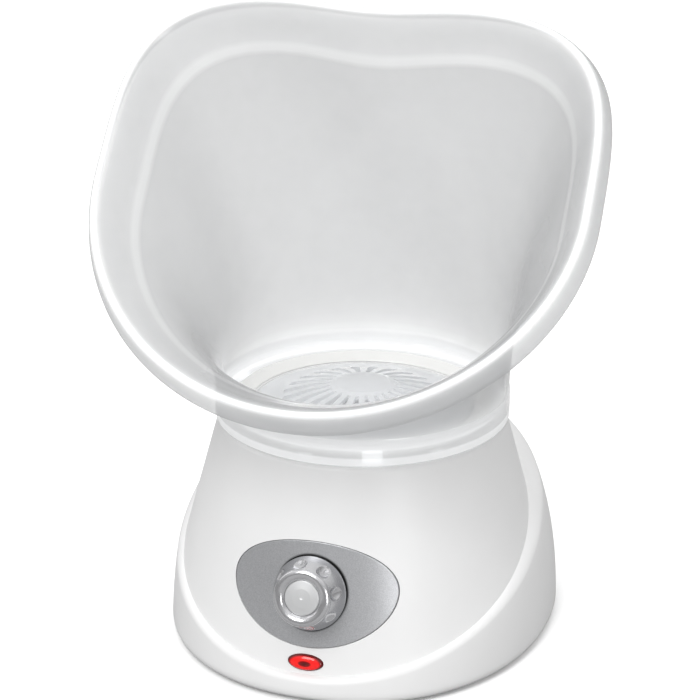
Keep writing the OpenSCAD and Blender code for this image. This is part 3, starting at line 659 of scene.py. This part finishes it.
MATS = {
    "white_shell": plain("white_abs", (0.80, 0.80, 0.80), 0.36, vary=0.012, grain=1400.0,
                         bump_mm=0.004, coat=0.0, rough_vary=0.03, specular=0.4),
    "black_rubber": plain("black_rubber", (0.03, 0.03, 0.032), 0.75, vary=0.2, bump_mm=0.03),
    "zinc_steel": plain("zinc_steel", (0.60, 0.61, 0.63), 0.32, 1.0, vary=0.08, stretch=(1.0, 1.0, 8.0)),
    "silver_plate": silver_lacquer("silver_lacquer"),
    "silver_knob": plain("satin_chrome", (0.62, 0.62, 0.635), 0.2, 1.0, vary=0.02, bump_mm=0.002,
                         rough_vary=0.03),
    "satin_cap": plain("satin_cap", (0.66, 0.665, 0.67), 0.42, 0.6, vary=0.04, grain=1800.0,
                       bump_mm=0.008),
    "black_plastic": plain("black_plastic", (0.035, 0.035, 0.038), 0.5, vary=0.15, bump_mm=0.02),
    "red_lens": red_lens("red_lens"),
    "lamp_glass": plain("neon_lamp", (0.10, 0.02, 0.015), 0.25, 0.0, vary=0.3, coat=0.5),
    "clear_mask": clear_plastic("milky_clear", (0.74, 0.74, 0.74), (0.52, 0.52, 0.52), 0.26, 0.34, 0.08),
    "cream_ring": plain("ring_plastic", (0.80, 0.80, 0.785), 0.32, vary=0.02, grain=1300.0,
                        bump_mm=0.005),
    "clear_vent": clear_plastic("vent_clear", (0.95, 0.95, 0.95), (0.8, 0.8, 0.8), 0.6, 0.9, 0.07),
    "dish_aluminium": plain("drawn_aluminium", (0.82, 0.82, 0.83), 0.42, 0.7, vary=0.05, grain=700.0),
    "silicone_seal": plain("silicone", (0.45, 0.12, 0.07), 0.5, vary=0.08),
    "cast_heater": plain("cast_aluminium", (0.42, 0.42, 0.43), 0.55, 0.9, vary=0.12, grain=420.0,
                         bump_mm=0.08),
    "bright_shield": plain("bright_sheet", (0.75, 0.76, 0.77), 0.22, 1.0, vary=0.05,
                           stretch=(6.0, 1.0, 1.0)),
    "fuse_sleeve": plain("glass_sleeve", (0.72, 0.70, 0.62), 0.8, vary=0.12, grain=600.0, bump_mm=0.1),
    "lead_blue": plain("lead_pvc", (0.06, 0.10, 0.34), 0.42, vary=0.08),
    "white_cord": plain("cord_pvc", (0.74, 0.74, 0.73), 0.42, vary=0.02, grain=1100.0, bump_mm=0.01),
    "brass_pins": plain("plated_brass", (0.72, 0.62, 0.40), 0.25, 1.0, vary=0.06),
}


def dress(obj, slot_name):
    obj.data.materials.clear()
    obj.data.materials.append(MATS[slot_name])


for entry in frame["record"]["subparts"]:
    cad = frame["nodes"][entry["node"]]
    dress(cad, entry["material_slot"])
    soften(cad, 32.0)

# ---------------------------------------------------------------- base housing

shell = ring_mesh("base_shell", housing_rows(288))
cut(shell, panel_slab("recess", 0.3, 1.5, -5.0))
cut(shell, lathe("bore", [(0, -12), (4.6, -12), (4.6, 12), (0, 12)], 64, front_matrix(KNOB_Z)))
cut(shell, oval_slab("lens_hole", LENS_W + 0.5, LENS_H + 0.5, -12, 12, front_matrix(LENS_Z)))
cut(shell, lathe("cord_hole", [(0, 60), (6.1, 60), (6.1, 110), (0, 110)], 64,
                 Matrix.Translation((0, 0, CORD_EXIT_Z * MM)) @ Matrix.Rotation(-math.pi / 2, 4, "X")))
soften(shell, 30.0)
dress(shell, "white_shell")

DISH_HOLE_R = 44.6
COLLAR_IN_R = 49.6
COLLAR_OUT_R = 51.4
COLLAR_TOP_Z = SEAT_Z + 3.6
LEDGE_R = 60.0
LEDGE_Z = SEAT_Z - 2.8
seat = lathe("seat_ring", [
    (DISH_HOLE_R, LEDGE_Z - 2.4), (COLLAR_OUT_R, LEDGE_Z - 2.4), (COLLAR_OUT_R, LEDGE_Z),
    (LEDGE_R, LEDGE_Z), (LEDGE_R, SEAT_Z), (LEDGE_R - 0.15, SEAT_Z + 0.15),
    (COLLAR_OUT_R + 0.2, SEAT_Z + 0.15), (COLLAR_OUT_R, SEAT_Z + 0.35),
    (COLLAR_OUT_R, COLLAR_TOP_Z - 0.5), (COLLAR_OUT_R - 0.15, COLLAR_TOP_Z - 0.15),
    (COLLAR_OUT_R - 0.5, COLLAR_TOP_Z), (COLLAR_IN_R + 0.4, COLLAR_TOP_Z),
    (COLLAR_IN_R + 0.1, COLLAR_TOP_Z - 0.2), (COLLAR_IN_R, COLLAR_TOP_Z - 0.5),
    (COLLAR_IN_R, LEDGE_Z), (DISH_HOLE_R, LEDGE_Z)], 224)
dress(seat, "white_shell")

# ---------------------------------------------------------------- silver panel

panel = panel_slab("panel_plate", 0.0, 1.4, -0.05, edge_round=0.35)
cut(panel, lathe("panel_bore", [(0, -8), (6.0, -8), (6.0, 8), (0, 8)], 64, front_matrix(KNOB_Z)))
soften(panel, 30.0)
dress(panel, "silver_plate")

# ---------------------------------------------------------------- knob

KNOB_BASE_R = 16.0
KNOB_FACE_R = 11.6
KNOB_LEN = 14.5
DIMPLES = 8
DIMPLE_DEPTH = 1.75
DIMPLE_HALF_W = 2.9
DIMPLE_HALF_H = 4.0
SPINDLE_HOLE_R = 3.05


def knob_dimple(r, z, a):
    """Pushes the flank in where a finger dimple sits."""
    if r < KNOB_FACE_R - 0.4 or z < 2.0 or z > KNOB_LEN - 0.9:
        return r, z
    pitch = 2 * math.pi / DIMPLES
    off = (a - math.radians(12) + pitch / 2) % pitch - pitch / 2
    u = off * r / DIMPLE_HALF_W
    v = (z - KNOB_LEN * 0.62) / DIMPLE_HALF_H
    d = u * u + v * v
    if d >= 1:
        return r, z
    depth = DIMPLE_DEPTH * (1 - d) ** 0.8
    return r - depth, z


flank_low = (KNOB_BASE_R - 0.2, 2.6)
flank_high = (KNOB_FACE_R + 1.1, KNOB_LEN - 2.2)
flank = [(flank_low[0] + (flank_high[0] - flank_low[0]) * k,
          flank_low[1] + (flank_high[1] - flank_low[1]) * k) for k in np.linspace(0, 1, 26)]
crown = [tuple(p) for p in spline([
    flank_high, [KNOB_FACE_R + 0.7, KNOB_LEN - 0.9], [KNOB_FACE_R - 0.3, KNOB_LEN - 0.15],
    [KNOB_FACE_R - 1.4, KNOB_LEN], [KNOB_FACE_R - 2.8, KNOB_LEN - 0.4], [7.75, KNOB_LEN - 1.35]], 5)]
underside = [(SPINDLE_HOLE_R, 1.2), (13.4, 1.2), (13.4, 0.6), (KNOB_BASE_R - 0.5, 0.6),
             (KNOB_BASE_R - 0.1, 0.8), (KNOB_BASE_R, 1.2), (KNOB_BASE_R - 0.05, 2.0)]
cap_seat = [(7.6, KNOB_LEN - 1.6), (7.6, KNOB_LEN - 3.3), (SPINDLE_HOLE_R, KNOB_LEN - 3.3)]
knob = lathe("knob_body", underside + flank + crown[1:] + cap_seat, 288, front_matrix(KNOB_Z), 42.0,
             knob_dimple)
dress(knob, "silver_knob")

# ---------------------------------------------------------------- mask

mask_loops, mask_white = mask_rows(288)
mask = ring_mesh("mask_shell", mask_loops, 60.0)
whiten(mask, mask_white)
dress(mask, "clear_mask")
FLOOR_RING_R = 57.7
# inset from the neck's outside, height over the seat, whiteness (milkiness plus painted light lifting the
# shaded neck)
collar_rows = [(2.0, 0.75, 0.3), (0.8, 0.25, 0.1), (0.25, 0.5, 0.2), (0.05, 1.0, 0.6), (0.0, 1.9, 0.6),
               (0.0, 4.0, 0.6), (0.0, 4.8, 0.35), (0.0, 10.5, 0.35), (0.0, 12.2, 0.35), (0.2, 12.9, 0.35),
               (0.8, 13.2, 0.35), (1.3, 13.0, 0.35), (1.8, 12.2, 0.35), (2.5, 7.6, 0.5), (3.2, 6.55, 0.85),
               (4.4, 6.4, 0.6), (NECK_R - FLOOR_RING_R, 6.4, 0.4), (NECK_R - FLOOR_RING_R, 5.0, 0.5),
               (2.0, 5.0, 0.35)]
collar = lathe("mask_collar", [(NECK_R - inset, SEAT_Z + rise) for inset, rise, _ in collar_rows], 256)
whiten(collar, [row[2] for row in collar_rows])
dress(collar, "clear_mask")

TAB_ANGLES = (20, 140, 260)
TAB_IN_R = 59.3
TAB_OUT_R = 61.2
TAB_HALF = 4
RIB_HALF = 3
TURN_LIMIT = 20
RIB_GAP = 0.5
tabs = arc_blocks("mask_tabs", TAB_IN_R, TAB_OUT_R, SEAT_Z + 0.6, SEAT_Z + 5.4, TAB_ANGLES, TAB_HALF)
whiten(tabs, [0.9])
dress(tabs, "clear_mask")
rib_offset = TURN_LIMIT + TAB_HALF + RIB_HALF + RIB_GAP
ribs = arc_blocks("stop_ribs", TAB_IN_R, TAB_OUT_R, SEAT_Z - 0.4, SEAT_Z + 2.6,
                  [a + s * rib_offset for a in TAB_ANGLES for s in (-1, 1)], RIB_HALF)
dress(ribs, "white_shell")

# ---------------------------------------------------------------- plug

plug_lo, plug_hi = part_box("power_plug")
PLUG_MID = (plug_lo + plug_hi) / 2 / MM
PLUG_END_Y = plug_hi[1] / MM
PLUG_LEN = (plug_hi[1] - plug_lo[1]) / MM


def plug_rows(cols=96):
    """Moulded plug from the cord end to the pin face: ribbed sleeve, shoulders and a flat body."""
    a = np.linspace(0, 2 * math.pi, cols, endpoint=False)
    stations = [(0.1, 0.0, 3.3), (0.1, 0.0, 4.0), (0.4, 0.0, 4.4)]
    for rib in range(3):
        y = 1.4 + rib * 2.6
        stations += [(y, 0.0, 4.45), (y + 0.3, 0.0, 3.9), (y + 1.2, 0.0, 3.9), (y + 1.5, 0.0, 4.5)]
    for k in np.linspace(0, 1, 10):
        stations.append((9.6 + 7.0 * k, 10.2 * ease(k), 4.5 + 0.15 * k))
    stations += [(PLUG_LEN - 1.4, 10.4, 4.7), (PLUG_LEN - 0.6, 10.2, 4.5), (PLUG_LEN - 0.15, 9.8, 4.1),
                 (PLUG_LEN - 0.1, 8.0, 2.4), (PLUG_LEN - 0.1, 0.3, 0.3)]
    rows = []
    for along, half_flat, r in stations:
        flat = np.sign(np.cos(a)) * half_flat * np.clip(np.abs(np.cos(a)) * 6, 0, 1)
        x = PLUG_MID[0] + flat + r * np.cos(a)
        z = PLUG_MID[2] + r * np.sin(a)
        rows.append(np.stack([x, np.full(cols, PLUG_END_Y - along), z], -1))
    rows.append(np.stack([PLUG_MID[0] + 0.3 * np.cos(a), np.full(cols, PLUG_END_Y - 1.0),
                          PLUG_MID[2] + 0.3 * np.sin(a)], -1))
    return rows


plug = ring_mesh("plug_body", plug_rows(), 35.0)
dress(plug, "white_cord")

# ---------------------------------------------------------------- steam vent

VENT_R = 49.2
VENT_RIM_Z = SEAT_Z + 4.0
VENT_TOP_Z = 112.2
VENT_FOOT_Z = 98.45
SLOTS = 24
SLOT_IN_R = 14.6
SLOT_OUT_R = 33.4
SLOT_IN_HALF = 0.75
SLOT_OUT_HALF = 2.4

dome_top = spline([[48.7, VENT_RIM_Z - 0.05], [44.0, VENT_RIM_Z + 1.2], [36.0, VENT_RIM_Z + 2.6],
                   [24.0, VENT_TOP_Z - 3.0], [16.0, VENT_TOP_Z - 1.2], [12.9, VENT_TOP_Z - 0.35]], 6)
dome_under = spline([[13.0, VENT_TOP_Z - 2.4], [24.0, VENT_TOP_Z - 5.2], [36.0, VENT_RIM_Z + 0.4],
                     [VENT_R - 1.6, VENT_RIM_Z - 1.2]], 6)
vent = lathe("vent_dome", [(VENT_R - 1.6, VENT_FOOT_Z), (VENT_R, VENT_FOOT_Z), (VENT_R, VENT_RIM_Z - 0.7),
                           (VENT_R - 0.15, VENT_RIM_Z - 0.3)] + [tuple(q) for q in dome_top]
             + [(12.5, VENT_TOP_Z - 0.08), (12.2, VENT_TOP_Z), (0, VENT_TOP_Z), (0, VENT_TOP_Z - 2.0)]
             + [tuple(q) for q in dome_under], 240)


def slot_cutters():
    """One tapered prism per steam slot, tall enough to pass through the dome."""
    bm = bmesh.new()
    for i in range(SLOTS):
        turn = Matrix.Rotation((i + 0.5) * 2 * math.pi / SLOTS, 4, "Z")
        edge = [(SLOT_IN_R, SLOT_IN_HALF), (SLOT_IN_R, -SLOT_IN_HALF), (SLOT_OUT_R, -SLOT_OUT_HALF)]
        edge += [(SLOT_OUT_R + SLOT_OUT_HALF * math.cos(q), SLOT_OUT_HALF * math.sin(q))
                 for q in np.linspace(-1.4, 1.4, 13)]
        edge += [(SLOT_OUT_R, SLOT_OUT_HALF)]
        low = [bm.verts.new(turn @ Vector((x * MM, y * MM, 0.1))) for x, y in edge]
        high = [bm.verts.new(turn @ Vector((x * MM, y * MM, 0.12))) for x, y in edge]
        bm.faces.new(low[::-1])
        bm.faces.new(high)
        for k in range(len(edge)):
            h = (k + 1) % len(edge)
            bm.faces.new((low[k], low[h], high[h], high[k]))
    bmesh.ops.recalc_face_normals(bm, faces=bm.faces)
    mesh = bpy.data.meshes.new("slot_cutters")
    bm.to_mesh(mesh)
    bm.free()
    obj = bpy.data.objects.new("slot_cutters", mesh)
    bpy.context.scene.collection.objects.link(obj)
    return obj


cut(vent, slot_cutters())
soften(vent, 30.0)
dress(vent, "clear_vent")

# ---------------------------------------------------------------- binding to bodies

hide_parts("base_housing")
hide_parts("base_housing")
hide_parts("control_panel")
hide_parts("control_knob")
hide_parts("face_mask")
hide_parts("face_mask")
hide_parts("face_mask")
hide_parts("base_housing")
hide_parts("steam_vent")
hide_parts("power_plug")
for piece, body in ((shell, "base"), (seat, "base"), (panel, "base"), (knob, "knob"), (mask, "mask"),
                    (collar, "mask"), (tabs, "mask"), (ribs, "base"), (vent, "vent"), (plug, "base")):
    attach(piece, body)

# ---------------------------------------------------------------- stage, light and camera


FLOOR_SIZE = 12.0
FLOOR_DROP = 0.0002
FLOOR_BOUNCE = 0.42
FLOOR_GLOW = 0.12


def stage_floor():
    """Pale floor that the camera sees bright, and that bounces less light onto the object."""
    bpy.ops.mesh.primitive_plane_add(size=FLOOR_SIZE, location=(0, 0, -FLOOR_DROP))
    floor = bpy.context.active_object
    floor.name = "floor"
    mat, tree, bsdf = material("paper_floor")
    seen = tree.nodes.new("ShaderNodeLightPath")
    share = node(tree, "ShaderNodeMapRange")
    share.inputs["To Min"].default_value = FLOOR_BOUNCE
    share.inputs["To Max"].default_value = 1.0
    tree.links.new(seen.outputs["Is Camera Ray"], share.inputs["Value"])
    shade = node(tree, "ShaderNodeMix", data_type="RGBA", blend_type="MULTIPLY")
    shade.inputs[0].default_value = 1.0
    tree.links.new(ramp(tree, noise(tree, 3.0), [(0.3, 0.94), (0.7, 0.96)]), shade.inputs[6])
    tree.links.new(share.outputs[0], shade.inputs[7])
    tree.links.new(shade.outputs[2], bsdf.inputs["Base Color"])
    bsdf.inputs["Roughness"].default_value = 0.9
    bsdf.inputs["Specular IOR Level"].default_value = 0.0
    bsdf.inputs["Emission Color"].default_value = (1.0, 1.0, 1.0, 1.0)
    glow = node(tree, "ShaderNodeMath", operation="MULTIPLY")
    glow.inputs[1].default_value = FLOOR_GLOW
    tree.links.new(seen.outputs["Is Camera Ray"], glow.inputs[0])
    tree.links.new(glow.outputs[0], bsdf.inputs["Emission Strength"])
    floor.data.materials.append(mat)


def area_light(name, place, target, size, power):
    data = bpy.data.lights.new(name, "AREA")
    data.shape = "RECTANGLE"
    data.size, data.size_y = size
    data.energy = power
    lamp = bpy.data.objects.new(name, data)
    lamp.location = place
    lamp.rotation_euler = (Vector(target) - Vector(place)).to_track_quat("-Z", "Y").to_euler()
    bpy.context.scene.collection.objects.link(lamp)


stage_floor()
area_light("key_front", (-0.25, -1.25, 1.35), (0, 0, 0.1), (0.7, 0.9), 15.0)
area_light("side_left", (-1.4, -0.2, 0.9), (0, 0, 0.1), (0.4, 1.0), 1.0)
area_light("fill_right", (0.95, -1.1, 0.32), (0, 0, 0.05), (0.45, 0.6), 3.5)
area_light("top_soft", (0.0, 0.3, 1.7), (0, 0, 0.1), (1.2, 1.2), 8.0)

# a studio dome that is brighter overhead than at the horizon; the camera sees it as full white or more
DOME_HORIZON = 0.36
DOME_ZENITH = 1.35
world = bpy.data.worlds.new("studio")
world.use_nodes = True
dome = world.node_tree
dome_coords = dome.nodes.new("ShaderNodeTexCoord")
dome_split = dome.nodes.new("ShaderNodeSeparateXYZ")
dome_curve = dome.nodes.new("ShaderNodeMath")
dome_curve.operation = "POWER"
dome_curve.use_clamp = True
dome_curve.inputs[1].default_value = 2.0
dome_range = dome.nodes.new("ShaderNodeMapRange")
dome_range.inputs["To Min"].default_value = DOME_HORIZON
dome_range.inputs["To Max"].default_value = DOME_ZENITH
dome.links.new(dome_coords.outputs["Generated"], dome_split.inputs[0])
dome.links.new(dome_split.outputs[2], dome_curve.inputs[0])
dome.links.new(dome_curve.outputs[0], dome_range.inputs["Value"])
dome_seen = dome.nodes.new("ShaderNodeLightPath")
dome_level = dome.nodes.new("ShaderNodeMath")
dome_level.operation = "MAXIMUM"
dome.links.new(dome_seen.outputs["Is Camera Ray"], dome_level.inputs[0])
dome.links.new(dome_range.outputs[0], dome_level.inputs[1])
dome.nodes["Background"].inputs[0].default_value = (1.0, 1.0, 1.0, 1.0)
dome.links.new(dome_level.outputs[0], dome.nodes["Background"].inputs[1])
bpy.context.scene.world = world
bpy.context.scene.view_settings.view_transform = "Standard"

AZIMUTH = math.radians(16.5)
ELEVATION = math.radians(20.8)
DISTANCE = 1.0277
FOCAL_MM = 119.6
AIM = Vector((-0.00539, -0.0016, 0.12745))
back = Vector((math.sin(AZIMUTH) * math.cos(ELEVATION), -math.cos(AZIMUTH) * math.cos(ELEVATION),
               math.sin(ELEVATION)))
camera_data = bpy.data.cameras.new("camera")
camera_data.lens = FOCAL_MM
camera = bpy.data.objects.new("camera", camera_data)
camera.location = AIM + back * DISTANCE
camera.rotation_euler = back.to_track_quat("Z", "Y").to_euler()
bpy.context.scene.collection.objects.link(camera)
bpy.context.scene.camera = camera
